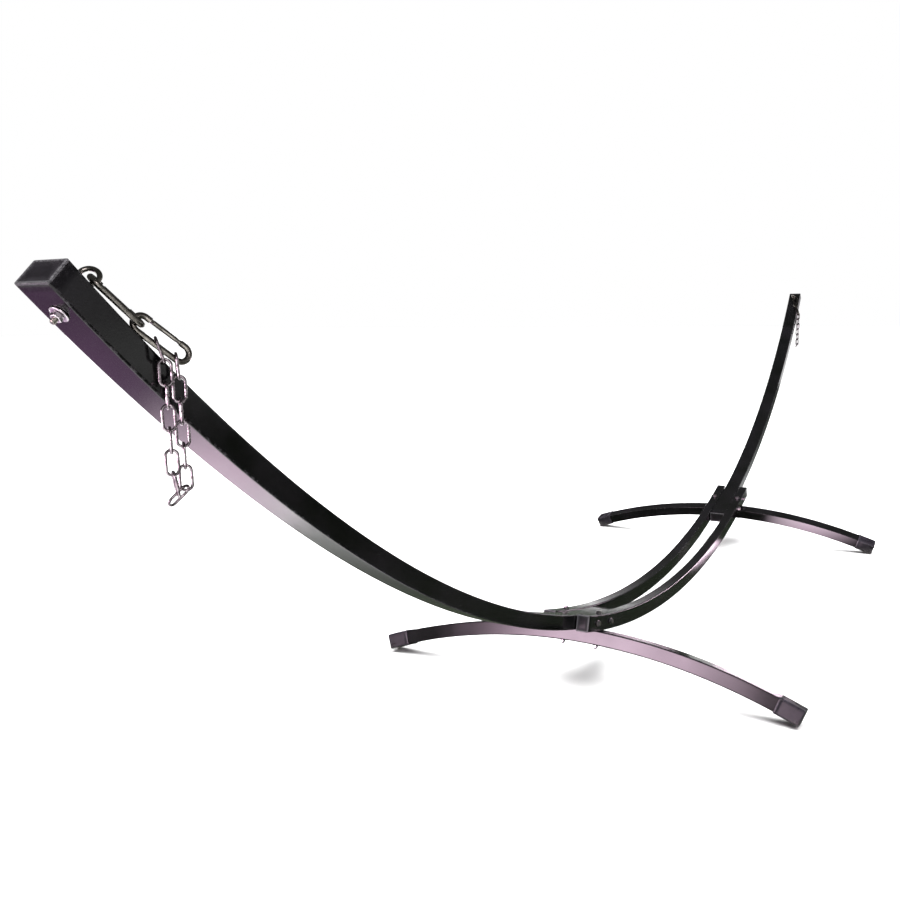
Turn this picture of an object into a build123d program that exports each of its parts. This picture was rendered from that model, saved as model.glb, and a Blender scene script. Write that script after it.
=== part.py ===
from build123d import *
import math
import os

os.makedirs("parts", exist_ok=True)

# ---------------------------------------------------------------- driving dimensions, mm and degrees
ARC_R = 3368.0          # centreline radius of the arms and the rails
ARC_BOTTOM = 70.0       # height of that centreline at the middle of the stand
ARM_END = 46.0          # angle of the arms' upper ends, measured from straight down
ARM_FOOT = 11.8         # angle of the arms' lower ends, between the rails
ARM_W = 60.0
ARM_D = 40.0
RAIL_END = 16.5
RAIL_W = 35.0
RAIL_D = 45.0
RAIL_GAP = 65.0         # clear gap between the two rails
FOOT_ANGLE = 14.56      # angle of the feet on the arc
FOOT_R = 1707.0         # centreline radius of a cross foot
FOOT_HALF = 21.1        # half the angle a cross foot spans
FOOT_W = 50.0
FOOT_D = 40.0
WALL = 2.0
CORNER = 3.0

CAP_WALL = 3.0
CAP_LONG = 64.0
CAP_END = 5.0

EYE_ANGLE = 45.25       # angle of the eye bolts on the arms
EYE_R = 12.0            # centreline radius of the eye
EYE_WIRE = 3.25
EYE_UP = 21.0           # height of the eye's centre above the arm
EYE_TURN = 33.0         # turn of the eye about its own shank
BOLT_R = 4.0
HOLE_R = 4.3
CROSS_ANGLES = (13.65, 15.35)

HOOK_WIRE = 4.0
HOOK_HALF = 11.0        # half the width between the two long wires
HOOK_LONG = 58.0        # distance between the centres of the two end bends
GATE_R = 3.0

LINK_WIRE = 2.0
LINK_HALF = 7.5
LINK_STRAIGHT = 18.0
LINK_GAP = 0.3

ARC_Z = ARC_BOTTOM + ARC_R


# ---------------------------------------------------------------- small vector helpers
def vec(a, b, c):
    return Vector(a, b, c)


def arc_plane(side, angle, offset=0.0, y=0.0):
    """A frame on the arc: x runs along the tube towards the middle, z towards the arc's centre."""
    t = math.radians(angle)
    r = ARC_R + offset
    origin = vec(side * r * math.sin(t), y, ARC_Z - r * math.cos(t))
    inward = vec(-side * math.sin(t), 0, math.cos(t))
    along = vec(-side * math.cos(t), 0, -math.sin(t))
    return Plane(origin=origin, x_dir=along, z_dir=inward)


def tube_profile(plane, width, depth, grow=0.0, corner=CORNER):
    """A rounded rectangle, width along the plane's x and depth along its y."""
    return plane * RectangleRounded(width + 2 * grow, depth + 2 * grow, max(corner + grow, 0.8))


def bent_bar(y, width, depth, start, end, grow=0.0):
    """A solid bar of rectangular section that follows the arc between two angles, near side negative."""
    t = math.radians(start)
    origin = vec(ARC_R * math.sin(t), y, ARC_Z - ARC_R * math.cos(t))
    section = Plane(origin=origin, x_dir=(0, 1, 0), z_dir=(math.cos(t), 0, math.sin(t)))
    axis = Axis((0, 0, ARC_Z), (0, -1, 0))
    return revolve(tube_profile(section, width, depth, grow), axis, end - start)


def bent_tube(y, width, depth, start, end):
    return bent_bar(y, width, depth, start, end) - bent_bar(y, width, depth, start - 0.05, end + 0.05, -WALL)


def rod(p, q, r):
    """A round bar from p to q."""
    d = q - p
    return extrude(Plane(origin=p, z_dir=d) * Circle(r), d.length)


def rod_bend(centre, start, normal, angle, r):
    """A round bar bent about a centre, from a start point, turning about the normal."""
    tangent = normal.cross(start - centre)
    section = Plane(origin=start, z_dir=tangent) * Circle(r)
    return revolve(section, Axis(centre, normal), angle)


def one(shape):
    solids = shape.solids()
    assert len(solids) == 1, len(solids)
    return solids[0]


def group(pieces):
    return Compound(children=[one(piece) for piece in pieces])


def mirror_x(shape):
    return mirror(shape, about=Plane.YZ)


# ---------------------------------------------------------------- fasteners
def hexagon(plane, across, high, bottom=0.0):
    flat = plane * Pos(0, 0, bottom) * RegularPolygon(across / 2, 6, major_radius=False)
    prism = extrude(flat, high)
    cone = plane * Pos(0, 0, bottom + high / 2) * Cone(across * 0.70, across * 0.44, high)
    return prism & (cone + plane * Pos(0, 0, bottom + high * 0.35) * Cylinder(across * 0.62, high * 0.7))


def ring_washer(plane, inner, outer, thick, bottom=0.0):
    face = plane * Pos(0, 0, bottom) * (Circle(outer) - Circle(inner))
    return extrude(face, thick)


def bolt(plane, length):
    """A hexagon bolt: the head's underside lies on the plane, the shank goes down."""
    shank = extrude(plane * Circle(BOLT_R), -length)
    return hexagon(plane, 13.0, 5.3) + shank


def nut(plane):
    """A nut that hangs below the plane, with room for the shank."""
    return hexagon(plane, 13.0, 6.5, -6.5) - plane * Cylinder(BOLT_R + 0.2, 40)


# ---------------------------------------------------------------- frame tubes
def arm(side):
    start, end = (-ARM_END, -ARM_FOOT) if side < 0 else (ARM_FOOT, ARM_END)
    tube = bent_tube(0, ARM_W, ARM_D, start, end)
    tube -= arc_plane(side, EYE_ANGLE) * Cylinder(HOLE_R, ARM_D * 2)
    for angle in CROSS_ANGLES:
        tube -= arc_plane(side, angle) * Rot(90, 0, 0) * Cylinder(HOLE_R, ARM_W * 2)
    return one(tube)


def rail(side_y):
    y = side_y * (RAIL_GAP + RAIL_W) / 2
    tube = bent_tube(y, RAIL_W, RAIL_D, -RAIL_END, RAIL_END)
    for side in (-1, 1):
        tube -= arc_plane(side, FOOT_ANGLE, 0, y) * Cylinder(HOLE_R, RAIL_D * 2)
        for angle in CROSS_ANGLES:
            tube -= arc_plane(side, angle, 0, y) * Rot(90, 0, 0) * Cylinder(HOLE_R, RAIL_W * 2)
    return one(tube)


FOOT_OFFSET = (RAIL_D + FOOT_D) / 2


def foot_frame(side):
    return arc_plane(side, FOOT_ANGLE, FOOT_OFFSET)


def foot_bar(side, start, end, grow=0.0):
    """A piece of the cross foot between two angles, positive towards +Y."""
    frame = foot_frame(side)
    centre = frame.origin - frame.z_dir * FOOT_R
    t = math.radians(start)
    radial = frame.z_dir * math.cos(t) + vec(0, 1, 0) * math.sin(t)
    onward = vec(0, 1, 0) * math.cos(t) - frame.z_dir * math.sin(t)
    section = Plane(origin=centre + radial * FOOT_R, x_dir=frame.x_dir, z_dir=onward)
    turn = radial.cross(onward)
    return revolve(tube_profile(section, FOOT_W, FOOT_D, grow), Axis(centre, turn), end - start)


def foot(side):
    tube = foot_bar(side, -FOOT_HALF, FOOT_HALF) - foot_bar(side, -FOOT_HALF - 0.1, FOOT_HALF + 0.1, -WALL)
    for side_y in (-1, 1):
        y = side_y * (RAIL_GAP + RAIL_W) / 2
        tube -= arc_plane(side, FOOT_ANGLE, FOOT_OFFSET, y) * Cylinder(HOLE_R, FOOT_D * 2)
    return one(tube)


def foot_end(side, side_y):
    """Angles on the foot: where the cap's open mouth is, where the tube ends, where the cap ends."""
    mouth = FOOT_HALF - math.degrees(CAP_LONG / FOOT_R)
    tip = FOOT_HALF + math.degrees(CAP_END / FOOT_R)
    return side_y * mouth, side_y * FOOT_HALF, side_y * tip


def foot_cap(side, side_y):
    """A sleeve cap with a closed end and a level pad that stands on the floor."""
    mouth, end, tip = foot_end(side, side_y)
    lo, hi = min(mouth, tip), max(mouth, tip)
    sleeve = foot_bar(side, lo, hi, CAP_WALL)
    frame = foot_frame(side)
    corner = frame.origin - frame.z_dir * FOOT_R
    t = math.radians(end)
    low = corner + frame.z_dir * ((FOOT_R - FOOT_D / 2) * math.cos(t))
    y = side_y * (FOOT_R - FOOT_D / 2) * math.sin(abs(t))
    inner = -side * 1.0
    pad = Pos(low.X + inner * 14, y - side_y * 24, 12) * Box(25, 46, 24)
    cap = sleeve + fillet(pad.edges().filter_by(Axis.Z), 5)
    cap -= Pos(low.X, y, -100) * Box(400, 400, 200)
    a, b = min(mouth - side_y * 0.1, end), max(mouth - side_y * 0.1, end)
    cap -= foot_bar(side, a, b, 0.15)
    return one(cap)


def end_plug(section_bar, inner_bar):
    """A flat plug: a thin cover over the tube's end and a short spigot inside it."""
    return one(section_bar + inner_bar)


def arc_plug(y, width, depth, at, outward):
    """outward is +1 when the tube's open end faces larger angles."""
    cover = math.degrees(3.0 / ARC_R) * outward
    spigot = math.degrees(16.0 / ARC_R) * outward
    gap = math.degrees(0.1 / ARC_R) * outward
    a, b = sorted((at + gap, at + cover))
    lid = bent_bar(y, width, depth, a, b)
    c, d = sorted((at - spigot, at + gap * 1.5))
    body = bent_bar(y, width, depth, c, d, -WALL - 0.2)
    return end_plug(lid, body)


# ---------------------------------------------------------------- bolts that hold the frame together
def foot_fasteners():
    bolts, washers, nuts = [], [], []
    for side in (-1, 1):
        for side_y in (-1, 1):
            y = side_y * (RAIL_GAP + RAIL_W) / 2
            top = arc_plane(side, FOOT_ANGLE, -RAIL_D / 2, y)
            under = arc_plane(side, FOOT_ANGLE, RAIL_D / 2 + FOOT_D, y)
            washers.append(ring_washer(top, BOLT_R + 0.3, 9.0, 1.6, 0.5))
            bolts.append(bolt(top * Pos(0, 0, 2.2), RAIL_D + FOOT_D + 17.0))
            washers.append(ring_washer(under, BOLT_R + 0.3, 9.0, 1.6, -3.0))
            nuts.append(nut(under * Pos(0, 0, -3.1)))
    return bolts, washers, nuts


def cross_fasteners():
    bolts, washers, nuts = [], [], []
    half = RAIL_GAP / 2 + RAIL_W
    for side in (-1, 1):
        for angle in CROSS_ANGLES:
            centre = arc_plane(side, angle).origin
            head = Plane(origin=centre + vec(0, -half, 0), x_dir=(1, 0, 0), z_dir=(0, -1, 0))
            tail = Plane(origin=centre + vec(0, half, 0), x_dir=(1, 0, 0), z_dir=(0, -1, 0))
            washers.append(ring_washer(head, BOLT_R + 0.3, 9.0, 1.6, 0.1))
            bolts.append(bolt(head * Pos(0, 0, 1.8), 2 * half + 15.0))
            washers.append(ring_washer(tail, BOLT_R + 0.3, 9.0, 1.6, -1.7))
            nuts.append(nut(tail * Pos(0, 0, -1.8)))
    return bolts, washers, nuts


# ---------------------------------------------------------------- hanging hardware, drawn at the near end
FACE = arc_plane(-1, EYE_ANGLE, -ARM_D / 2)


def on_arm(s, y, h):
    """A point s along the arm from the eye bolt, y across it and h above its inner face."""
    return FACE.origin + FACE.x_dir * s + vec(0, y, 0) + FACE.z_dir * h


def on_arm_dir(s, y, h):
    return (FACE.x_dir * s + vec(0, y, 0) + FACE.z_dir * h).normalized()


EYE_NORMAL = on_arm_dir(math.cos(math.radians(EYE_TURN)), math.sin(math.radians(EYE_TURN)), 0)
EYE_SIDE = on_arm_dir(-math.sin(math.radians(EYE_TURN)), math.cos(math.radians(EYE_TURN)), 0)
EYE_CENTRE = on_arm(0, 0, EYE_UP)


def eye_bolt():
    ring = revolve(Plane(origin=EYE_CENTRE + FACE.z_dir * EYE_R, z_dir=EYE_SIDE) * Circle(EYE_WIRE),
                   Axis(EYE_CENTRE, EYE_NORMAL), 360)
    neck_top = EYE_UP - EYE_R
    shank = rod(on_arm(0, 0, -ARM_D - 15.0), on_arm(0, 0, neck_top), BOLT_R)
    collar = rod(on_arm(0, 0, 0.1), on_arm(0, 0, 3.1), 8.5)
    return one(ring + shank + collar)


def eye_washer():
    return one(ring_washer(FACE * Pos(0, 0, -ARM_D), BOLT_R + 0.3, 12.0, 2.0, -2.1))


def eye_nut():
    return one(nut(FACE * Pos(0, 0, -ARM_D - 2.2)))


class HookFrame:
    """x from the first bend's centre to the second's, y towards the gate, z across."""

    def __init__(self, first, along, gate_way):
        self.first = first
        self.x = along.normalized()
        g = gate_way - self.x * gate_way.dot(self.x)
        self.y = g.normalized()
        self.z = self.x.cross(self.y)

    def at(self, x, y, z=0.0):
        return self.first + self.x * x + self.y * y + self.z * z

    def plane(self, x, y, z=0.0):
        return Plane(origin=self.at(x, y, z), x_dir=self.x, z_dir=self.z)


HINGE_X = 4.0
TIP_X = 50.0


def hook_body(f):
    """The bent wire with its gate side open, a slotted ear for the gate and a flat nose."""
    n, r, w = HOOK_HALF, HOOK_WIRE, HOOK_LONG
    wire = rod(f.at(0, -n), f.at(w, -n), r)
    wire += rod_bend(f.at(0, 0), f.at(0, n), f.z, 180, r)
    wire += rod_bend(f.at(w, 0), f.at(w, -n), f.z, 180, r)
    wire += rod(f.at(0, n), f.at(HINGE_X + 2.5, n), r)
    wire += rod(f.at(w, n), f.at(TIP_X + 1.0, n), r)
    slot = f.plane(HINGE_X + 1.5, n) * Box(9.0, 2 * r + 2, 4.4)
    wire -= slot
    blade = f.plane(TIP_X - 1.5, n) * Box(6.0, 3.6, 2.0)
    knob = rod(f.at(TIP_X - 3.4, n, -2.2), f.at(TIP_X - 3.4, n, 2.2), 1.5)
    pin = rod(f.at(HINGE_X, n, -r + 0.8), f.at(HINGE_X, n, r - 0.8), 1.2)
    return one(wire + blade + knob + pin)


def hook_gate(f):
    """A round gate with a tongue on the pin and a slot that closes over the nose."""
    n = HOOK_HALF
    bar = rod(f.at(HINGE_X + 6.4, n), f.at(TIP_X + 0.6, n), GATE_R)
    tongue = f.plane(HINGE_X + 3.8, n) * Box(7.6, 4.4, 3.8)
    eye = rod(f.at(HINGE_X, n, -1.9), f.at(HINGE_X, n, 1.9), 2.2)
    gate = bar + tongue + eye
    gate -= rod(f.at(HINGE_X, n, -5), f.at(HINGE_X, n, 5), 1.45)
    gate -= f.plane(TIP_X - 1.2, n) * Box(8.0, 8.0, 2.6)
    gate -= f.plane(TIP_X - 3.4, n) * Box(4.2, 8.0, 5.0)
    return one(gate)


def link(centre, axis, width):
    """One chain link: axis runs from its upper bend to its lower bend, width lies across."""
    a = axis.normalized()
    w = (width - a * width.dot(a)).normalized()
    normal = a.cross(w)
    s = LINK_STRAIGHT / 2
    h = LINK_HALF
    low, high = centre + a * s, centre - a * s
    body = rod(high + w * h, low + w * h, LINK_WIRE)
    body += rod_bend(low, low + w * h, normal * -1, 180, LINK_WIRE)
    body += rod(low - w * h, high - w * h, LINK_WIRE)
    body += rod_bend(high, high - w * h, normal * -1, 180, LINK_WIRE)
    return one(body)


# ---------------------------------------------------------------- where the hooks and links lie
DOWN = vec(0, 0, -1)
W_ODD = vec(0.62, 0.785, 0)       # width direction of the odd links
W_EVEN = vec(-0.785, 0.62, 0)     # width direction of the even links

# each hook: where its first bend's centre is along, across and above the arm, its turn across the
# arm, its slope away from the arm, and how far its gate side is rolled over towards +Y
HOOK1_AT = (8.5, -10.5, 17.1)
HOOK1_TURN, HOOK1_SLOPE, HOOK1_ROLL = 10.5, -0.2, 57.0
HOOK2_AT = (76.0, -24.4, 16.4)
HOOK2_TURN, HOOK2_SLOPE, HOOK2_ROLL = 20.1, 1.7, -4.4


def hook_frame(at, turn, slope, roll):
    t, r = math.radians(turn), math.radians(roll)
    along = on_arm_dir(math.cos(t), -math.sin(t), math.tan(math.radians(slope)))
    return HookFrame(on_arm(*at), along, on_arm_dir(0, math.sin(r), math.cos(r)))


def hook1_frame():
    return hook_frame(HOOK1_AT, HOOK1_TURN, HOOK1_SLOPE, HOOK1_ROLL)


def hook2_frame():
    return hook_frame(HOOK2_AT, HOOK2_TURN, HOOK2_SLOPE, HOOK2_ROLL)


def next_hold(placed):
    """The middle of the wire in a placed link's lower bend."""
    centre, axis, width = placed
    return centre + axis.normalized() * (LINK_STRAIGHT / 2 + LINK_HALF)


def placed_link(hold, offset, axis, width):
    """A link whose middle is offset from the wire it hangs on."""
    return hold + offset, axis, width


def hung_link(hold, width):
    """A link hanging straight down from the wire of the link above."""
    away = LINK_STRAIGHT / 2 + LINK_HALF - 2 * LINK_WIRE - LINK_GAP
    return placed_link(hold, DOWN * away, DOWN, width)


A_AT = 27.0                        # where strand A hangs along the second hook's lower wire
B_AT = 57.0
# the links that do not hang straight: middle from the wire they hang on, axis, width direction
A1_SET = vec(3.87, -2.72, -7.07), vec(0.213, -0.178, -1.0), vec(0.646, 0.763, 0)
B1_SET = vec(1.10, -1.05, -8.80), vec(0.042, -0.022, -1.0), W_ODD
A7_SET = vec(1.82, -1.84, -11.51), vec(0.139, -0.052, -0.989), vec(0.546, 0.778, -0.451)
A8_SET = vec(-8.69, 5.64, -5.76), vec(-0.724, 0.296, -0.624), vec(0.280, 0.500, -0.849)


def strand(hold, first_set, count):
    """Links hanging down from a hook's wire, every second one turned a quarter."""
    placed = [placed_link(hold, *first_set)]
    for k in range(1, count):
        placed.append(hung_link(next_hold(placed[-1]), W_EVEN if k % 2 else W_ODD))
    return placed


def chain_layout():
    """Two strands hang from the second hook; two more links join their lower ends in a loop."""
    f = hook2_frame()
    a = strand(f.at(A_AT, -HOOK_HALF), A1_SET, 6)
    b = strand(f.at(B_AT, -HOOK_HALF), B1_SET, 6)
    a.append(placed_link(next_hold(a[-1]), *A7_SET))
    a.append(placed_link(next_hold(b[-1]), *A8_SET))
    return a, b


# ---------------------------------------------------------------- build every node
def build():
    nodes = {
        "near_arm": arm(-1),
        "far_arm": arm(1),
        "left_rail": rail(1),
        "right_rail": rail(-1),
        "near_foot": foot(-1),
        "far_foot": foot(1),
    }
    for side, end in ((-1, "near"), (1, "far")):
        for side_y, hand in ((1, "left"), (-1, "right")):
            nodes[end + "_" + hand + "_foot_cap"] = foot_cap(side, side_y)
    nodes["arm_plugs"] = group([
        arc_plug(0, ARM_W, ARM_D, -ARM_END, -1),
        arc_plug(0, ARM_W, ARM_D, ARM_END, 1),
        arc_plug(0, ARM_W, ARM_D, -ARM_FOOT, 1),
        arc_plug(0, ARM_W, ARM_D, ARM_FOOT, -1),
    ])
    rail_y = (RAIL_GAP + RAIL_W) / 2
    nodes["rail_plugs"] = group([
        arc_plug(y, RAIL_W, RAIL_D, end * RAIL_END, end) for y in (-rail_y, rail_y) for end in (-1, 1)
    ])
    for name, (bolts, washers, nuts) in (("foot", foot_fasteners()), ("cross", cross_fasteners())):
        nodes[name + "_bolts"] = group(bolts)
        nodes[name + "_washers"] = group(washers)
        nodes[name + "_nuts"] = group(nuts)

    hardware = {
        "eye_bolt": eye_bolt(),
        "hook1": hook_body(hook1_frame()),
        "hook1_gate": hook_gate(hook1_frame()),
        "hook2": hook_body(hook2_frame()),
        "hook2_gate": hook_gate(hook2_frame()),
    }
    for letter, placed in zip("AB", chain_layout()):
        for k, (centre, axis, width) in enumerate(placed):
            hardware["link_%s%d" % (letter, k + 1)] = link(centre, axis, width)
    for name, shape in hardware.items():
        nodes["near_" + name] = shape
        nodes["far_" + name] = one(mirror_x(shape))
    nodes["eye_washers"] = group([eye_washer(), one(mirror_x(eye_washer()))])
    nodes["eye_nuts"] = group([eye_nut(), one(mirror_x(eye_nut()))])
    return nodes


for name, shape in build().items():
    export_step(shape, "parts/" + name + ".step")
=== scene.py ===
import math

import bmesh
import bpy
from mathutils import Matrix, Vector


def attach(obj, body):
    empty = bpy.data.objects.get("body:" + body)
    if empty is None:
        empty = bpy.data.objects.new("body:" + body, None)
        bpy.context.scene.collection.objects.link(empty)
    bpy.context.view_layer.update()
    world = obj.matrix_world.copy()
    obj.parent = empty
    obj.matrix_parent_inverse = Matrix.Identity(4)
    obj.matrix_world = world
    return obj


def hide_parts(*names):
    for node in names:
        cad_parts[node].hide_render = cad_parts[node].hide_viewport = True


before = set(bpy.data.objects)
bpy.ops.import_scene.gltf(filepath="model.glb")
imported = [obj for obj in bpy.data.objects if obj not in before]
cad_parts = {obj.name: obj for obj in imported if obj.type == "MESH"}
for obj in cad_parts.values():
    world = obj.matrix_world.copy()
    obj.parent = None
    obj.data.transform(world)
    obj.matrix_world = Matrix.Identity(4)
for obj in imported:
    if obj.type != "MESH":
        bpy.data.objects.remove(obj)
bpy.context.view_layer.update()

# An arc hammock stand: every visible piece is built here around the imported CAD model, except the
# snap hooks and their gates, which keep the CAD meshes.

# ---------------------------------------------------------------- driving dimensions, metres and degrees
ARC_R = 3.368           # centreline radius of the arms and rails
ARC_BOTTOM = 0.070      # height of that centreline at the middle of the stand
ARC_Z = ARC_BOTTOM + ARC_R
ARM_END, ARM_FOOT = 46.0, 11.8
ARM_W, ARM_D = 0.060, 0.040
RAIL_END = 16.5
RAIL_W, RAIL_D, RAIL_GAP = 0.035, 0.045, 0.065
FOOT_ANGLE = 14.56
FOOT_R, FOOT_HALF = 1.707, 21.1
FOOT_W, FOOT_D = 0.050, 0.040
FOOT_OFFSET = (RAIL_D + FOOT_D) / 2
WALL, CORNER = 0.002, 0.003
MIN_CORNER = 0.0008
TUBE_RIM = 0.0004       # how far a tube's end is rolled in
CAP_WALL, CAP_LONG, CAP_END = 0.003, 0.064, 0.005
CROSS_ANGLES = (13.65, 15.35)
EYE_ANGLE, EYE_TURN = 45.25, 33.0
EYE_R, EYE_WIRE, EYE_UP = 0.012, 0.00325, 0.021
BOLT_R = 0.004
BOLT_HOLE, NUT_HOLE = BOLT_R + 0.0003, BOLT_R + 0.0002
HEX_ACROSS, HEAD_HIGH, NUT_HIGH = 0.013, 0.0053, 0.0065
BOLT_THREAD = 0.022
WASHER_R, WASHER_THICK = 0.009, 0.0016
EYE_WASHER_R, EYE_WASHER_THICK = 0.012, 0.002
LINK_WIRE, LINK_HALF, LINK_STRAIGHT, LINK_GAP = 0.002, 0.0075, 0.018, 0.0003
HOOK_HALF = 0.011       # half the width between a hook's two long wires
MM = 0.001

X, Y, Z = Vector((1, 0, 0)), Vector((0, 1, 0)), Vector((0, 0, 1))
RAIL_Y = (RAIL_GAP + RAIL_W) / 2


class Frame:
    """A place with three directions; z is the one a fastener points along."""

    def __init__(self, origin, x, z):
        self.origin, self.x, self.z = Vector(origin), Vector(x).normalized(), Vector(z).normalized()
        self.y = self.z.cross(self.x)

    def at(self, x, y, z=0.0):
        return self.origin + self.x * x + self.y * y + self.z * z

    def moved(self, z):
        return Frame(self.at(0, 0, z), self.x, self.z)

    def mirrored(self):
        flip = Vector((-1, 1, 1))
        return Frame(self.origin * flip, self.x * flip, self.z * flip)


def arc_frame(side, angle, offset=0.0, y=0.0):
    """On the arc: x runs along the tube to the middle of the stand, z to the arc's centre."""
    t = math.radians(angle)
    r = ARC_R + offset
    return Frame((side * r * math.sin(t), y, ARC_Z - r * math.cos(t)),
                 (-side * math.cos(t), 0, -math.sin(t)), (-side * math.sin(t), 0, math.cos(t)))


# ---------------------------------------------------------------- mesh helpers
def make(name, verts, faces, edge):
    """A smooth-shaded mesh object with its faces turned outwards and its wear values stored."""
    mesh = bpy.data.meshes.new(name)
    mesh.from_pydata([tuple(v) for v in verts], [], faces)
    solid = bmesh.new()
    solid.from_mesh(mesh)
    bmesh.ops.recalc_face_normals(solid, faces=solid.faces)
    solid.to_mesh(mesh)
    solid.free()
    mesh.validate()
    layer = mesh.attributes.new("edge", "FLOAT", "POINT")
    layer.data.foreach_set("value", edge)
    mesh.polygons.foreach_set("use_smooth", [True] * len(mesh.polygons))
    mesh.update()
    obj = bpy.data.objects.new(name, mesh)
    bpy.context.collection.objects.link(obj)
    return obj


class Shape:
    """Collects skins into one mesh, with an edge value per vertex for wear."""

    def __init__(self):
        self.verts, self.faces, self.edge = [], [], []

    def skin(self, rings, edge, closed=False):
        """Quads between rings; closed joins the last ring to the first, otherwise both ends are capped.

        edge is one value, one value per ring, or one list per ring.
        """
        base, n = len(self.verts), len(rings[0])
        for i, ring in enumerate(rings):
            self.verts.extend(ring)
            value = edge[i] if isinstance(edge, list) else edge
            self.edge.extend(value if isinstance(value, list) else [value] * n)
        count = len(rings)
        for i in range(count if closed else count - 1):
            a, b = base + i * n, base + (i + 1) % count * n
            self.faces.extend((a + j, a + (j + 1) % n, b + (j + 1) % n, b + j) for j in range(n))
        if not closed:
            self.faces.append(tuple(base + j for j in reversed(range(n))))
            self.faces.append(tuple(base + (count - 1) * n + j for j in range(n)))
        return self

    def build(self, name, mirror=False):
        verts = self.verts
        if mirror:
            verts = [Vector((-v[0], v[1], v[2])) for v in verts]
        return make(name, verts, self.faces, self.edge)


def rounded(width, depth, corner, steps=6, band=0.0007):
    """A rounded rectangle's outline with a support point beside each corner, and its edge values."""
    points, edge = [], []
    for k, (sx, sy) in enumerate(((1, 1), (-1, 1), (-1, -1), (1, -1))):
        cx, cy = sx * (width / 2 - corner), sy * (depth / 2 - corner)
        arc = []
        for i in range(steps + 1):
            a = math.radians(90 * k + 90 * i / steps)
            arc.append((cx + corner * math.cos(a), cy + corner * math.sin(a)))
        before, after = math.radians(90 * k - 90), math.radians(90 * k + 180)
        first = (arc[0][0] + band * math.cos(before), arc[0][1] + band * math.sin(before))
        last = (arc[-1][0] + band * math.cos(after), arc[-1][1] + band * math.sin(after))
        points += [first] + arc + [last]
        edge += [0.0] + [1.0 - abs(2 * i / steps - 1) * 0.6 for i in range(steps + 1)] + [0.0]
    return points, edge


def arc_ring(y, outline, angle):
    """An outline set square across the arc: its x across the stand, its y away from the arc's centre."""
    t = math.radians(angle)
    out = Vector((math.sin(t), 0, -math.cos(t)))
    centre = Vector((0, y, ARC_Z)) + out * ARC_R
    return [centre + Y * a + out * b for a, b in outline]


def foot_ring(side, outline, angle):
    """An outline set square across a cross foot; angle is positive towards +Y."""
    base = arc_frame(side, FOOT_ANGLE, FOOT_OFFSET)
    t = math.radians(angle)
    radial = base.z * math.cos(t) + Y * math.sin(t)
    centre = base.origin - base.z * FOOT_R + radial * FOOT_R
    return [centre + base.x * a + radial * b for a, b in outline]


def tube(ring_at, width, depth, start, end, radius, segments):
    """A hollow tube with rolled end rims along any path that ring_at(outline, angle) gives."""
    rim = math.degrees(TUBE_RIM / radius) * (1 if end > start else -1)
    shape, rings, edge = Shape(), [], []

    def add(grow, angle, worn):
        outline, flags = rounded(width + 2 * grow, depth + 2 * grow, CORNER + grow)
        rings.append(ring_at(outline, angle))
        edge.append([max(f, worn) for f in flags])

    add(-TUBE_RIM, start, 0.7)
    for i in range(segments + 1):
        f = i / segments
        add(0.0, start + rim + (end - start - 2 * rim) * f, 0.25 if i in (0, segments) else 0.0)
    add(-TUBE_RIM, end, 0.7)
    for i in range(segments // 2 + 1):
        add(-WALL, end + (start - end) * i / (segments // 2), 0.0)
    return shape.skin(rings, edge, closed=True)


def wire(path, radius, sides, up, bulge=None):
    """Rings round a closed path of points; bulge(i) scales the radius."""
    rings = []
    for i, p in enumerate(path):
        t = (path[(i + 1) % len(path)] - path[i - 1]).normalized()
        side = up.cross(t).normalized()
        r = radius * (bulge(i) if bulge else 1.0)
        ring = []
        for k in range(sides):
            a = 2 * math.pi * k / sides
            ring.append(p + (side * math.cos(a) + t.cross(side) * math.sin(a)) * r)
        rings.append(ring)
    return rings


def lathe(shape, place, profile, sides, edge, warp=None):
    """Turns (radius, height) pairs about the frame's z; warp(radius, angle, height) gives a new radius."""
    rings = []
    for r, h in profile:
        ring = []
        for k in range(sides):
            a = 2 * math.pi * k / sides
            rr = warp(r, a, h) if warp else r
            ring.append(place.at(rr * math.cos(a), rr * math.sin(a), h))
        rings.append(ring)
    shape.skin(rings, edge)


# ---------------------------------------------------------------- fasteners
def hex_block(shape, place, high, bottom=0.0, hole=0.0):
    """A hexagon head or nut with turned chamfers on its corners."""
    across = HEX_ACROSS

    def hexed(r, a, h):
        if r < across * 0.42:
            return r
        flat = across / 2 / math.cos((a + math.pi / 6) % (math.pi / 3) - math.pi / 6)
        from_end = min(h - bottom, bottom + high - h)
        return min(flat, across * 0.505 + from_end * 1.55)

    big = across * 0.60
    heights = [0.0, 0.12, 0.28, 0.5, 0.72, 0.88, 1.0]
    profile = [(max(hole, 0.0002), bottom)] + [(big, bottom + high * f) for f in heights]
    profile += [(across * 0.40, bottom + high),
                (max(hole, 0.0002), bottom + high - (0.0004 if hole else 0.0))]
    edge = [0.2, 0.9, 0.5, 0.2, 0.1, 0.2, 0.5, 0.9, 0.2, 0.3]
    lathe(shape, place, profile, 72, edge, hexed)


def washer(shape, place, outer, thick, bottom):
    """A flat ring with chamfered edges."""
    inner, c = BOLT_HOLE, thick * 0.22
    profile = [(inner, bottom + c), (inner, bottom + thick - c), (inner + c, bottom + thick),
               (outer - c, bottom + thick), (outer, bottom + thick - c), (outer, bottom + c),
               (outer - c, bottom), (inner + c, bottom)]
    rings = [[place.at(r * math.cos(2 * math.pi * k / 48), r * math.sin(2 * math.pi * k / 48), h)
              for k in range(48)] for r, h in profile]
    shape.skin(rings, [0.2, 0.4, 0.3, 0.6, 1.0, 1.0, 0.6, 0.3], closed=True)


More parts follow.
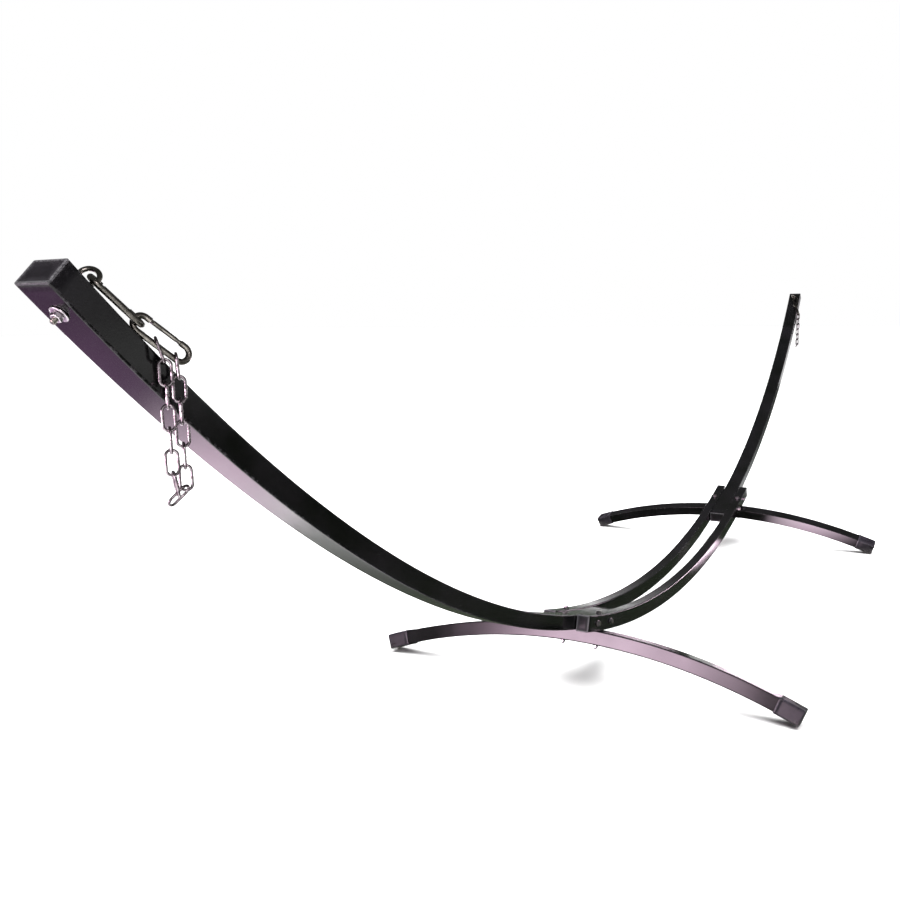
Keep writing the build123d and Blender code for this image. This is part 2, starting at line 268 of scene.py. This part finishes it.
def threaded(shape, place, radius, top, bottom, pitch=1.25 * MM):
    """A screw thread: the radius follows a helix, with a plain point."""
    steps = max(8, int((top - bottom) / pitch * 10))
    profile = [(radius * 0.98, top)]
    profile += [(radius, top - (top - bottom - MM) * i / steps) for i in range(1, steps + 1)]
    profile += [(radius * 0.80, bottom), (0.0002, bottom)]

    def helix(r, a, h):
        if r < radius * 0.95 or h > top - pitch:
            return r
        phase = (h / pitch + a / (2 * math.pi)) % 1.0
        return r - 0.00055 * abs(2 * phase - 1)

    lathe(shape, place, profile, 32, 0.3, helix)


def bolt(shape, place, length):
    hex_block(shape, place, HEAD_HIGH)
    lathe(shape, place, [(BOLT_R, 0.0), (BOLT_R, -length + BOLT_THREAD)], 32, 0.0)
    threaded(shape, place, BOLT_R - 0.0001, -length + BOLT_THREAD, -length)


def frame_fasteners(kind):
    """Bolts, washers and nuts of the frame as three shapes; kind is foot or cross.

    gaps are the depths of the head's washer, the nut's washer and the nut below their faces.
    """
    bolts, washers, nuts = Shape(), Shape(), Shape()
    for side in (-1, 1):
        if kind == "foot":
            spots = [(arc_frame(side, FOOT_ANGLE, -RAIL_D / 2, sy * RAIL_Y).moved(0.0022),
                      arc_frame(side, FOOT_ANGLE, RAIL_D / 2 + FOOT_D, sy * RAIL_Y)) for sy in (-1, 1)]
            length, gaps = RAIL_D + FOOT_D + 0.017, (-0.0017, -0.0030, -0.0031)
        else:
            half = RAIL_GAP / 2 + RAIL_W
            spots = []
            for angle in CROSS_ANGLES:
                centre = arc_frame(side, angle).origin
                spots.append((Frame(centre - Y * (half + 0.0018), X, -Y),
                              Frame(centre + Y * half, X, -Y)))
            length, gaps = 2 * half + 0.015, (-0.0017, -0.0017, -0.0018)
        for head, tail in spots:
            bolt(bolts, head, length)
            washer(washers, head, WASHER_R, WASHER_THICK, gaps[0])
            washer(washers, tail, WASHER_R, WASHER_THICK, gaps[1])
            hex_block(nuts, tail.moved(gaps[2]), NUT_HIGH, -NUT_HIGH, NUT_HOLE)
    return bolts, washers, nuts


# ---------------------------------------------------------------- hanging hardware at the near end
FACE = arc_frame(-1, EYE_ANGLE, -ARM_D / 2)


def on_arm(s, y, h):
    """A point by the near arm's upper face: s along the arm, y across, h above it."""
    return FACE.origin + FACE.x * s + Y * y + FACE.z * h


def on_arm_dir(s, y, h):
    return (FACE.x * s + Y * y + FACE.z * h).normalized()


def eye_bolt_shape():
    turn = math.radians(EYE_TURN)
    normal = on_arm_dir(math.cos(turn), math.sin(turn), 0)
    side = on_arm_dir(-math.sin(turn), math.cos(turn), 0)
    centre = on_arm(0, 0, EYE_UP)
    shape = Shape()
    path = []
    for k in range(72):
        a = 2 * math.pi * k / 72
        path.append(centre + (side * math.sin(a) - FACE.z * math.cos(a)) * EYE_R)
    shape.skin(wire(path, EYE_WIRE, 20, normal), 0.15, closed=True)
    neck = EYE_UP - EYE_R
    lathe(shape, FACE, [(0.0085, 0.0001), (0.0085, 0.0026), (0.0080, 0.0031), (0.0052, 0.0034),
                        (0.0044, 0.0042), (0.0042, neck - 0.001), (0.0048, neck + 0.0015)],
          40, [0.5, 1.0, 0.8, 0.2, 0.2, 0.1, 0.1])
    lathe(shape, FACE, [(BOLT_R, 0.0005), (BOLT_R, -ARM_D)], 32, 0.0)
    threaded(shape, FACE, BOLT_R - 0.0001, -ARM_D + 0.001, -ARM_D - 0.015)
    return shape


def link_shape(centre, axis, width, seed):
    """A link of round wire: pressed bends, slightly flattened, with a welded seam on one side."""
    a = axis.normalized()
    w = (width - a * width.dot(a)).normalized()
    normal = a.cross(w)
    s, h = LINK_STRAIGHT / 2, LINK_HALF
    path = []
    straight, bend = 22, 20
    for k in range(straight):
        path.append(centre + w * h + a * (s - 2 * s * k / straight))
    for k in range(bend):
        t = math.pi * k / bend
        path.append(centre - a * s + (w * math.cos(t) - a * math.sin(t)) * h)
    for k in range(straight):
        path.append(centre - w * h + a * (-s + 2 * s * k / straight))
    for k in range(bend):
        t = math.pi * k / bend
        path.append(centre + a * s + (-w * math.cos(t) + a * math.sin(t)) * h)
    seam = straight + bend + straight / 2 + 0.6 * math.sin(seed * 2.1)

    def bulge(i):
        d = (i - seam) * (LINK_STRAIGHT / straight)
        bead = math.exp(-(d / 0.0013) ** 2)
        groove = math.exp(-(d / 0.00035) ** 2)
        return 1.0 + 0.15 * bead - 0.07 * groove + 0.006 * math.sin(i * 0.7 + seed)

    edge = [0.9 if abs(i - seam) < 2.2 else 0.1 for i in range(len(path))]
    return Shape().skin(wire(path, LINK_WIRE, 16, normal, bulge), edge, closed=True)


W_ODD, W_EVEN = Vector((0.62, 0.785, 0)), Vector((-0.785, 0.62, 0))
HOOK2_AT = (0.0760, -0.0244, 0.0164)
HOOK2_TURN, HOOK2_SLOPE, HOOK2_ROLL = 20.1, 1.7, -4.4
A_AT, B_AT = 0.0270, 0.0570      # where the two strands hang along the hook's lower wire
# Each SET is a link's centre from what holds it, its long axis, and the direction of its width.
A1_SET = (Vector((3.87, -2.72, -7.07)) * MM, Vector((0.213, -0.178, -1.0)), Vector((0.646, 0.763, 0)))
B1_SET = (Vector((1.10, -1.05, -8.80)) * MM, Vector((0.042, -0.022, -1.0)), W_ODD)
A7_SET = (Vector((1.82, -1.84, -11.51)) * MM, Vector((0.139, -0.052, -0.989)),
          Vector((0.546, 0.778, -0.451)))
A8_SET = (Vector((-8.69, 5.64, -5.76)) * MM, Vector((-0.724, 0.296, -0.624)),
          Vector((0.280, 0.500, -0.849)))


def next_hold(placed):
    """The middle of the lower bend of a placed link, where the next one hangs."""
    centre, axis, _ = placed
    return centre + axis.normalized() * (LINK_STRAIGHT / 2 + LINK_HALF)


def chain_layout():
    """Two strands hang from the second hook's lower wire; two links join their lower ends."""
    t, r = math.radians(HOOK2_TURN), math.radians(HOOK2_ROLL)
    along = on_arm_dir(math.cos(t), -math.sin(t), math.tan(math.radians(HOOK2_SLOPE)))
    gate = on_arm_dir(0, math.sin(r), math.cos(r))
    gate = (gate - along * gate.dot(along)).normalized()
    first = on_arm(*HOOK2_AT)
    away = LINK_STRAIGHT / 2 + LINK_HALF - 2 * LINK_WIRE - LINK_GAP
    strands = []
    for at, top in ((A_AT, A1_SET), (B_AT, B1_SET)):
        hold = first + along * at - gate * HOOK_HALF
        placed = [(hold + top[0], top[1], top[2])]
        for k in range(1, 6):
            placed.append((next_hold(placed[-1]) - Z * away, -Z, W_EVEN if k % 2 else W_ODD))
        strands.append(placed)
    a, b = strands
    a.append((next_hold(a[-1]) + A7_SET[0], A7_SET[1], A7_SET[2]))
    a.append((next_hold(b[-1]) + A8_SET[0], A8_SET[1], A8_SET[2]))
    return a, b


# ---------------------------------------------------------------- node material helpers
class Nodes:
    """A material's node tree with short calls for the nodes used here."""

    def __init__(self, name):
        self.mat = bpy.data.materials.new(name)
        self.mat.use_nodes = True
        self.tree = self.mat.node_tree
        self.shader = self.tree.nodes["Principled BSDF"]
        self.coord = self.add("ShaderNodeTexCoord").outputs["Object"]

    def add(self, kind, **values):
        node = self.tree.nodes.new(kind)
        for key, value in values.items():
            setattr(node, key, value)
        return node

    def put(self, value, socket):
        if isinstance(value, bpy.types.NodeSocket):
            self.tree.links.new(value, socket)
        else:
            socket.default_value = value

    def noise(self, scale, detail=3.0, rough=0.55, stretch=None, distortion=0.0):
        node = self.add("ShaderNodeTexNoise")
        vector = self.coord
        if stretch:
            mapping = self.add("ShaderNodeMapping")
            mapping.inputs["Scale"].default_value = stretch
            self.tree.links.new(vector, mapping.inputs["Vector"])
            vector = mapping.outputs["Vector"]
        self.tree.links.new(vector, node.inputs["Vector"])
        node.inputs["Scale"].default_value = scale
        node.inputs["Detail"].default_value = detail
        node.inputs["Roughness"].default_value = rough
        node.inputs["Distortion"].default_value = distortion
        return node.outputs["Fac"]

    def cells(self, scale):
        node = self.add("ShaderNodeTexVoronoi", feature="F1")
        self.tree.links.new(self.coord, node.inputs["Vector"])
        node.inputs["Scale"].default_value = scale
        return node.outputs["Distance"]

    def ramp(self, value, low, high, out_low=0.0, out_high=1.0):
        node = self.add("ShaderNodeMapRange")
        node.inputs["From Min"].default_value = low
        node.inputs["From Max"].default_value = high
        node.inputs["To Min"].default_value = out_low
        node.inputs["To Max"].default_value = out_high
        self.put(value, node.inputs["Value"])
        return node.outputs["Result"]

    def math(self, operation, a, b=0.0):
        node = self.add("ShaderNodeMath", operation=operation)
        self.put(a, node.inputs[0])
        self.put(b, node.inputs[1])
        return node.outputs[0]

    def mix(self, factor, a, b):
        node = self.add("ShaderNodeMix", data_type="RGBA")
        self.put(factor, node.inputs["Factor"])
        self.put(a, node.inputs["A"])
        self.put(b, node.inputs["B"])
        return node.outputs["Result"]

    def attribute(self, name):
        return self.add("ShaderNodeAttribute", attribute_name=name).outputs["Fac"]

    def bump(self, height, distance, strength=1.0, onto=None):
        node = self.add("ShaderNodeBump")
        node.inputs["Distance"].default_value = distance
        node.inputs["Strength"].default_value = strength
        self.put(height, node.inputs["Height"])
        if onto:
            self.tree.links.new(onto, node.inputs["Normal"])
        return node.outputs["Normal"]

    def finish(self, **sockets):
        for key, value in sockets.items():
            self.put(value, self.shader.inputs[key.replace("_", " ")])
        return self.mat


def rgb(r, g, b):
    return (r, g, b, 1.0)


def paint():
    """Glossy black powder coat: orange peel, faint cloudiness, fine scratches, rubbed edges, dust."""
    n = Nodes("frame_paint")
    cloud = n.noise(7.0, 4.0)
    peel = n.noise(420.0, 2.0, 0.5)
    grain = n.noise(2600.0, 2.0)
    scratch = n.noise(900.0, 3.0, 0.6, stretch=(0.03, 1.0, 0.9), distortion=0.4)
    fine = n.ramp(scratch, 0.66, 0.74)
    rub = n.math("MULTIPLY", n.attribute("edge"), n.ramp(n.noise(160.0, 5.0, 0.7), 0.50, 0.72))
    dust = n.ramp(n.cells(240.0), 0.10, 0.03)
    dust = n.math("MULTIPLY", dust, n.ramp(n.noise(16.0), 0.48, 0.62, 0.0, 0.4))
    colour = n.mix(n.ramp(cloud, 0.35, 0.68), rgb(0.0016, 0.0018, 0.0016), rgb(0.0042, 0.0038, 0.0046))
    colour = n.mix(n.math("MULTIPLY", fine, 0.30), colour, rgb(0.022, 0.021, 0.024))
    colour = n.mix(n.math("MULTIPLY", rub, 0.55), colour, rgb(0.085, 0.080, 0.088))
    colour = n.mix(dust, colour, rgb(0.030, 0.028, 0.030))
    rough = n.ramp(cloud, 0.3, 0.7, 0.10, 0.19)
    rough = n.math("ADD", rough, n.math("MULTIPLY", fine, 0.16))
    rough = n.math("ADD", rough, n.math("MULTIPLY", rub, 0.25))
    rough = n.math("ADD", rough, n.math("MULTIPLY", dust, 0.35))
    normal = n.bump(peel, 0.00003)
    normal = n.bump(grain, 0.00001, 0.6, normal)
    return n.finish(Base_Color=colour, Roughness=rough, Normal=normal, IOR=1.30)


def cap_plastic():
    """Moulded dark plastic with a purple cast, scuffed where it meets the ground."""
    n = Nodes("cap_plastic")
    cloud = n.noise(26.0, 4.0)
    grain = n.noise(1500.0, 2.0, 0.6)
    height = n.add("ShaderNodeSeparateXYZ")
    n.tree.links.new(n.coord, height.inputs["Vector"])
    low = n.ramp(height.outputs["Z"], 0.030, 0.002)
    scuff = n.math("MULTIPLY", n.ramp(n.noise(240.0, 5.0, 0.7), 0.45, 0.65), low)
    worn = n.math("MULTIPLY", n.attribute("edge"), n.ramp(n.noise(300.0, 4.0, 0.7), 0.42, 0.66))
    colour = n.mix(n.ramp(cloud, 0.3, 0.7), rgb(0.005, 0.004, 0.006), rgb(0.016, 0.013, 0.018))
    colour = n.mix(n.math("MULTIPLY", worn, 0.3), colour, rgb(0.12, 0.11, 0.13))
    colour = n.mix(n.math("MULTIPLY", scuff, 0.6), colour, rgb(0.22, 0.20, 0.19))
    rough = n.ramp(cloud, 0.3, 0.7, 0.24, 0.36)
    rough = n.math("ADD", rough, n.math("MULTIPLY", scuff, 0.35))
    return n.finish(Base_Color=colour, Roughness=rough, Normal=n.bump(grain, 0.00003), IOR=1.38)


def plug_plastic():
    """Dark moulded plastic, paler where its rim is rubbed."""
    n = Nodes("plug_plastic")
    cloud = n.noise(60.0, 4.0)
    grain = n.noise(1900.0, 3.0, 0.65)
    worn = n.math("MULTIPLY", n.attribute("edge"), n.ramp(n.noise(420.0, 4.0, 0.7), 0.35, 0.6))
    colour = n.mix(n.ramp(cloud, 0.3, 0.7), rgb(0.004, 0.0035, 0.0045), rgb(0.011, 0.0095, 0.012))
    colour = n.mix(n.math("MULTIPLY", worn, 0.6), colour, rgb(0.16, 0.155, 0.165))
    rough = n.ramp(grain, 0.3, 0.7, 0.34, 0.5)
    return n.finish(Base_Color=colour, Roughness=rough, Normal=n.bump(grain, 0.00005), IOR=1.36)


def steel(name, light, dark, rough_low, rough_high, tint_scale=160.0):
    """Plated steel: darker patches, drawn lines, small pits and brighter rubbed spots."""
    n = Nodes(name)
    cloud = n.noise(tint_scale, 4.0, 0.6)
    pits = n.ramp(n.cells(1400.0), 0.16, 0.05)
    lines = n.noise(1600.0, 3.0, 0.6, stretch=(1.0, 1.0, 0.12))
    worn = n.math("MULTIPLY", n.attribute("edge"), n.ramp(n.noise(900.0, 4.0), 0.35, 0.6))
    colour = n.mix(n.ramp(cloud, 0.36, 0.64), dark, light)
    colour = n.mix(n.math("MULTIPLY", pits, 0.5), colour, rgb(0.10, 0.095, 0.09))
    colour = n.mix(n.math("MULTIPLY", worn, 0.4), colour, rgb(0.30, 0.27, 0.24))
    rough = n.ramp(cloud, 0.3, 0.7, rough_high, rough_low)
    rough = n.math("ADD", rough, n.math("MULTIPLY", pits, 0.2))
    normal = n.bump(lines, 0.00004, 0.5)
    normal = n.bump(pits, -0.00005, 0.7, normal)
    return n.finish(Base_Color=colour, Roughness=rough, Normal=normal, Metallic=1.0)


def ground():
    """A plain, nearly white studio floor."""
    n = Nodes("studio_floor")
    cloud = n.noise(1.2, 3.0)
    colour = n.mix(n.ramp(cloud, 0.3, 0.7), rgb(0.86, 0.86, 0.86), rgb(0.90, 0.90, 0.90))
    return n.finish(Base_Color=colour, Roughness=0.9)


PAINT, CAP, PLUG = paint(), cap_plastic(), plug_plastic()
ZINC = steel("bolt_zinc", rgb(0.52, 0.49, 0.52), rgb(0.26, 0.24, 0.26), 0.22, 0.42)
HOOK = steel("hook_steel", rgb(0.26, 0.245, 0.22), rgb(0.085, 0.080, 0.068), 0.20, 0.40, 90.0)
CHAIN = steel("chain_steel", rgb(0.33, 0.29, 0.31), rgb(0.10, 0.085, 0.095), 0.16, 0.34)


def place(obj, material, slot, body, *nodes):
    """Gives a piece its material, hides the CAD nodes it stands for, and lets it ride on its body."""
    obj.data.materials.append(material)
    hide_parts(*nodes)
    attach(obj, body)


# ---------------------------------------------------------------- the frame
def arc_tube(y, width, depth, start, end, segments):
    return tube(lambda outline, angle: arc_ring(y, outline, angle), width, depth, start, end,
                ARC_R, segments)


for side, end in ((-1, "near"), (1, "far")):
    arm = arc_tube(0, ARM_W, ARM_D, side * ARM_FOOT, side * ARM_END, 110)
    place(arm.build(end + "_arm_tube"), PAINT, "frame_paint", "stand", end + "_arm")
for sy, hand in ((1, "left"), (-1, "right")):
    rail = arc_tube(sy * RAIL_Y, RAIL_W, RAIL_D, -RAIL_END, RAIL_END, 110)
    place(rail.build(hand + "_rail_tube"), PAINT, "frame_paint", "stand", hand + "_rail")
for side, end in ((-1, "near"), (1, "far")):
    foot = tube(lambda outline, angle: foot_ring(side, outline, angle), FOOT_W, FOOT_D,
                -FOOT_HALF, FOOT_HALF, FOOT_R, 90)
    place(foot.build(end + "_foot_tube"), PAINT, "frame_paint", "stand", end + "_foot")


def sleeve_cap(side, sy):
    """A sleeve with a rounded end, a thicker rolled mouth and a level pad under it."""
    def angle(distance):
        return sy * (FOOT_HALF + math.degrees(distance / FOOT_R))

    stations = [(-CAP_LONG, 0.0002, 0.3), (-CAP_LONG, 0.0024, 0.9), (-CAP_LONG + 0.0006, 0.0030, 1.0),
                (-CAP_LONG + 0.0052, 0.0030, 0.8), (-CAP_LONG + 0.0058, 0.0026, 0.2)]
    stations += [(-CAP_LONG + 0.0058 + 0.0595 * i / 10, 0.0026, 0.0) for i in range(1, 11)]
    stations += [(CAP_END - 0.0026, 0.0026, 0.0), (CAP_END - 0.0018, 0.0024, 0.6),
                 (CAP_END - 0.0008, 0.0018, 1.0), (CAP_END - 0.0002, 0.0008, 0.9),
                 (CAP_END, -0.0006, 0.3), (CAP_END, -0.0040, 0.0),
                 (CAP_END - 0.0008, -0.0046, 0.5), (CAP_END - 0.0008, -0.0140, 0.0)]
    rings, edge = [], []
    for distance, grow, worn in stations:
        corner = max(CORNER + grow, MIN_CORNER)
        outline, flags = rounded(FOOT_W + 2 * grow, FOOT_D + 2 * grow, corner)
        ring = foot_ring(side, outline, angle(distance))
        rings.append([Vector((p.x, p.y, max(p.z, 0.0))) for p in ring])
        edge.append([max(f * 0.8, worn) for f in flags])
    return Shape().skin(rings, edge)


for side, end in ((-1, "near"), (1, "far")):
    for sy, hand in ((1, "left"), (-1, "right")):
        node = "%s_%s_foot_cap" % (end, hand)
        place(sleeve_cap(side, sy).build(node + "_sleeve"), CAP, "cap_plastic", "stand", node)


def plug_shape(shape, y, width, depth, at, outward):
    """The cover over a tube's end: rounded rim and a shallow dished face."""
    def angle(distance):
        return at + math.degrees(distance / ARC_R) * outward

    stations = [(0.0001, -0.0030, 0.0), (0.0001, 0.0, 0.3), (0.0006, 0.0, 0.6), (0.0022, 0.0, 0.7),
                (0.0028, -0.0004, 1.0), (0.0030, -0.0012, 1.0), (0.0030, -0.0036, 0.6),
                (0.0024, -0.0044, 0.1), (0.0024, -0.0120, 0.0)]
    rings, edge = [], []
    for distance, grow, worn in stations:
        corner = max(CORNER + grow, MIN_CORNER)
        outline, _ = rounded(width + 2 * grow, depth + 2 * grow, corner)
        rings.append(arc_ring(y, outline, angle(distance)))
        edge.append(worn)
    shape.skin(rings, edge)


arm_plugs = Shape()
for at, outward in ((-ARM_END, -1), (ARM_END, 1), (-ARM_FOOT, 1), (ARM_FOOT, -1)):
    plug_shape(arm_plugs, 0, ARM_W, ARM_D, at, outward)
place(arm_plugs.build("arm_end_plugs"), PLUG, "plug_plastic", "stand", "arm_plugs")
rail_plugs = Shape()
for y in (-RAIL_Y, RAIL_Y):
    for end in (-1, 1):
        plug_shape(rail_plugs, y, RAIL_W, RAIL_D, end * RAIL_END, end)
place(rail_plugs.build("rail_end_plugs"), PLUG, "plug_plastic", "stand", "rail_plugs")

for kind in ("foot", "cross"):
    for shape, word in zip(frame_fasteners(kind), ("bolts", "washers", "nuts")):
        name = "%s_%s" % (kind, word)
        place(shape.build(name + "_zinc"), ZINC, "bolt_zinc", "stand", name)

# ---------------------------------------------------------------- eye bolts, hooks and chains
eye_washers, eye_nuts = Shape(), Shape()
for face in (FACE, FACE.mirrored()):
    washer(eye_washers, face, EYE_WASHER_R, EYE_WASHER_THICK, -ARM_D - 0.0021)
    hex_block(eye_nuts, face.moved(-ARM_D - 0.0022), NUT_HIGH, -NUT_HIGH, NUT_HOLE)
place(eye_washers.build("eye_bolt_washers"), ZINC, "bolt_zinc", "stand", "eye_washers")
place(eye_nuts.build("eye_bolt_nuts"), ZINC, "bolt_zinc", "stand", "eye_nuts")

strand_a, strand_b = chain_layout()
for end, mirror in (("near", False), ("far", True)):
    place(eye_bolt_shape().build(end + "_eye", mirror), HOOK, "bolt_zinc", "stand", end + "_eye_bolt")
    for letter, placed in (("A", strand_a), ("B", strand_b)):
        for k, (centre, axis, width) in enumerate(placed):
            node = "%s_link_%s%d" % (end, letter, k + 1)
            shape = link_shape(centre, axis, width, k * 3 + ord(letter) + 7 * mirror)
            place(shape.build(node + "_wire", mirror), CHAIN, "chain_steel", node, node)
    for node in ("hook1", "hook1_gate", "hook2", "hook2_gate"):
        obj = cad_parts[end + "_" + node]
        obj.data.materials.clear()
        obj.data.materials.append(HOOK)

# ---------------------------------------------------------------- floor, light and camera
FLOOR_HALF = 40.0
floor_mesh = bpy.data.meshes.new("floor")
floor_mesh.from_pydata([(sx * FLOOR_HALF, sy * FLOOR_HALF, 0)
                        for sx, sy in ((-1, -1), (1, -1), (1, 1), (-1, 1))], [], [(0, 1, 2, 3)])
floor = bpy.data.objects.new("floor", floor_mesh)
bpy.context.collection.objects.link(floor)
floor.data.materials.append(ground())

# The camera sees a white world; every other ray sees it fade from a pale horizon to dark above.
world = bpy.data.worlds.new("studio")
bpy.context.scene.world = world
world.use_nodes = True
tree = world.node_tree
background = tree.nodes["Background"]
coord = tree.nodes.new("ShaderNodeTexCoord")
split = tree.nodes.new("ShaderNodeSeparateXYZ")
sky = tree.nodes.new("ShaderNodeValToRGB")
path = tree.nodes.new("ShaderNodeLightPath")
seen = tree.nodes.new("ShaderNodeMix")
seen.data_type = "RGBA"
tree.links.new(coord.outputs["Generated"], split.inputs["Vector"])
tree.links.new(split.outputs["Z"], sky.inputs["Fac"])
low, high = sky.color_ramp.elements
low.position, low.color = 0.0, rgb(0.75, 0.72, 0.75)
high.position, high.color = 0.22, rgb(0.10, 0.10, 0.10)
tree.links.new(path.outputs["Is Camera Ray"], seen.inputs["Factor"])
tree.links.new(sky.outputs["Color"], seen.inputs["A"])
seen.inputs["B"].default_value = rgb(1.0, 1.0, 1.0)
tree.links.new(seen.outputs["Result"], background.inputs["Color"])
background.inputs["Strength"].default_value = 1.0
bpy.context.scene.view_settings.view_transform = "Standard"


def soft_light(name, where, target, width, height, power, colour=(1, 1, 1), shine=True):
    data = bpy.data.lights.new(name, "AREA")
    data.shape = "RECTANGLE"
    data.size, data.size_y = width, height
    data.energy = power
    data.color = colour
    obj = bpy.data.objects.new(name, data)
    bpy.context.collection.objects.link(obj)
    obj.location = where
    obj.rotation_euler = (Vector(target) - Vector(where)).to_track_quat("-Z", "Y").to_euler()
    obj.visible_glossy = shine
    return obj


soft_light("overhead", (0, 0, 5.0), (0, 0, 0), 9.0, 9.0, 900, shine=False)
key = soft_light("key", (-4.5, -4.0, 3.2), (-1.0, 0, 0.4), 2.0, 1.2, 90, colour=(1.0, 0.93, 0.97))
key.visible_camera = False
sun_data = bpy.data.lights.new("even_top_light", "SUN")
sun_data.energy = 5.0
sun_data.angle = math.radians(60)
sun = bpy.data.objects.new("even_top_light", sun_data)
bpy.context.collection.objects.link(sun)
sun.visible_glossy = False


def stage_card(name, where, size, dark, light, strength=1.0, edge=2.0, clouds=2.0, upright=False):
    """A soft-edged card that only mirror reflections see, to shape the gloss of the paint.

    It lies on the floor, or stands across X if upright. A larger edge gives a harder outline.
    """
    steps = 24
    verts, fade = [], []
    for i in range(steps + 1):
        for j in range(steps + 1):
            u, v = 2.0 * i / steps - 1.0, 2.0 * j / steps - 1.0
            across, along = u * size[0] / 2, v * size[1] / 2
            offset = (0, across, along) if upright else (across, along, 0)
            verts.append(tuple(w + o for w, o in zip(where, offset)))
            fade.append((1 - abs(u) ** edge) * (1 - abs(v) ** edge))
    row = steps + 1
    faces = [(i * row + j, (i + 1) * row + j, (i + 1) * row + j + 1, i * row + j + 1)
             for i in range(steps) for j in range(steps)]
    data = bpy.data.meshes.new(name)
    data.from_pydata(verts, [], faces)
    layer = data.attributes.new("fade", "FLOAT", "POINT")
    layer.data.foreach_set("value", fade)
    card = bpy.data.objects.new(name, data)
    bpy.context.collection.objects.link(card)
    n = Nodes(name + "_glow")
    data.materials.append(n.finish(Base_Color=rgb(0, 0, 0), Roughness=1.0, Alpha=n.attribute("fade"),
                                   Emission_Color=n.mix(n.noise(clouds), dark, light),
                                   Emission_Strength=strength))
    for ray in ("camera", "diffuse", "shadow", "transmission", "volume_scatter"):
        setattr(card, "visible_" + ray, False)


# Dark parts of the studio, then the pale patches that the near arm and the two feet mirror.
stage_card("dark_side", (3.0, -4.6, 0.002), (13.0, 9.2),
           rgb(0.010, 0.018, 0.008), rgb(0.030, 0.045, 0.022), edge=24.0)
stage_card("dark_middle", (0.20, 0.0, 0.003), (3.7, 2.6),
           rgb(0.040, 0.055, 0.032), rgb(0.10, 0.13, 0.085), edge=12.0)
stage_card("dark_end", (-2.6, 1.9, 0.003), (2.3, 2.4),
           rgb(0.004, 0.002, 0.005), rgb(1.5, 0.80, 1.55), edge=8.0, clouds=3.0)
stage_card("pale_arm", (-1.80, 0.92, 0.004), (0.64, 0.64),
           rgb(0.80, 0.52, 0.72), rgb(1.0, 0.90, 0.97), 4.5)
stage_card("pale_foot_near", (-4.8, 1.25, 0.56), (2.3, 1.1),
           rgb(0.80, 0.50, 0.70), rgb(1.0, 0.84, 0.94), 50.0, clouds=1.0, upright=True)
stage_card("pale_foot_far", (0.56, -0.36, 0.005), (0.56, 0.44),
           rgb(0.80, 0.52, 0.72), rgb(1.0, 0.84, 0.94), 60.0)

CAMERA_AT = Vector((-3.0965, -0.9364, 1.0515))
YAW, PITCH, ROLL = math.radians(27.34), math.radians(-9.23), math.radians(-0.81)
FOCAL = 893.29 / 900.0      # focal length as a part of the frame's width
SENSOR_MM = 36.0
forward = Vector((math.cos(YAW) * math.cos(PITCH), math.sin(YAW) * math.cos(PITCH),
                  math.sin(PITCH)))
right = Vector((math.sin(YAW), -math.cos(YAW), 0))
up = right.cross(forward)
right_rolled = right * math.cos(ROLL) + up * math.sin(ROLL)
up_rolled = up * math.cos(ROLL) - right * math.sin(ROLL)
camera_data = bpy.data.cameras.new("camera")
camera_data.sensor_width = SENSOR_MM
camera_data.lens = SENSOR_MM * FOCAL
camera_data.shift_x, camera_data.shift_y = -0.0646, 0.0040
camera_data.clip_start, camera_data.clip_end = 0.05, 200.0
camera = bpy.data.objects.new("camera", camera_data)
bpy.context.collection.objects.link(camera)
camera.matrix_world = Matrix((right_rolled, up_rolled, -forward)).transposed().to_4x4()
camera.matrix_world.translation = CAMERA_AT
bpy.context.scene.camera = camera
